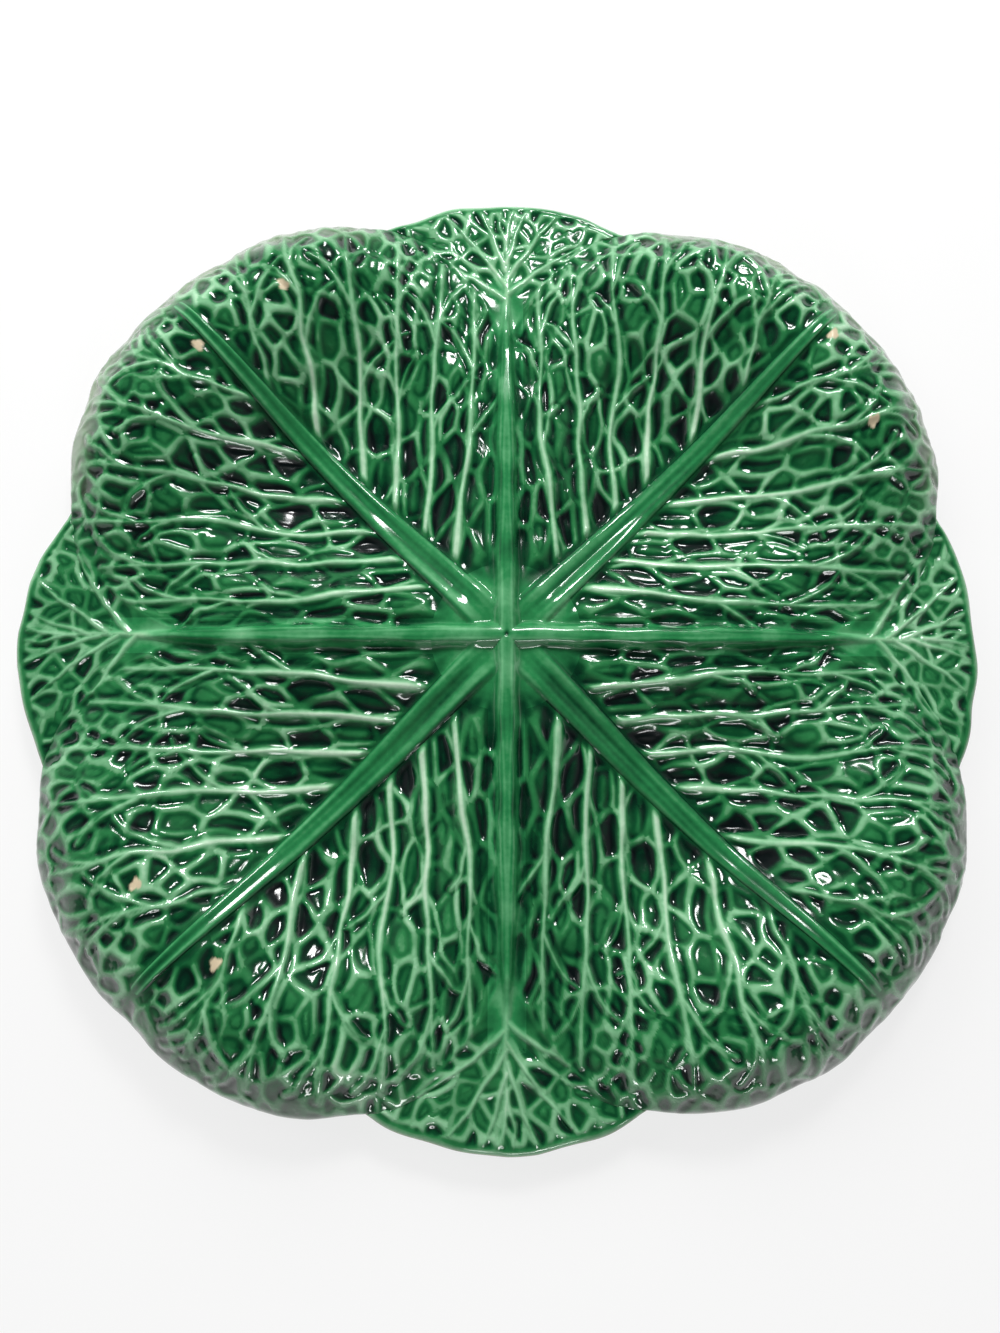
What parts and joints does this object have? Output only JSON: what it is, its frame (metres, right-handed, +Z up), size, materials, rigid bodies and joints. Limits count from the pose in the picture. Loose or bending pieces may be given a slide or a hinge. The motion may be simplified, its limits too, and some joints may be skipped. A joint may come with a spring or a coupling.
{
  "type": "divided serving dish",
  "caption": "Round green-glazed serving dish whose wells are cabbage leaves with rolled edges, parted by raised stems that end in low leaf-tip lips.",
  "frame": {"origin": "middle of the dish, at the table's level", "axes": "+Z up out of the wells, +X and +Y along two of the raised stems"},
  "size_m": [0.3234, 0.3234, 0.0297],
  "materials": {
    "leaf_glaze": "glossy translucent green glaze, pale on the veins and near black in the hollows",
    "stem_glaze": "glossy pale green glaze with fine lengthwise streaks"
  },
  "bodies": {
    "root": {"middle_boss": "stem_glaze", "divider_east": "stem_glaze", "divider_north": "stem_glaze", "divider_west": "stem_glaze", "divider_south": "stem_glaze", "lip_east": "leaf_glaze", "lip_north": "leaf_glaze", "lip_west": "leaf_glaze", "lip_south": "leaf_glaze", "well_northeast": "leaf_glaze", "rim_northeast": "leaf_glaze", "midrib_northeast": "stem_glaze", "well_northwest": "leaf_glaze", "rim_northwest": "leaf_glaze", "midrib_northwest": "stem_glaze", "well_southwest": "leaf_glaze", "rim_southwest": "leaf_glaze", "midrib_southwest": "stem_glaze", "well_southeast": "leaf_glaze", "rim_southeast": "leaf_glaze", "midrib_southeast": "stem_glaze"}
  },
  "joints": []
}
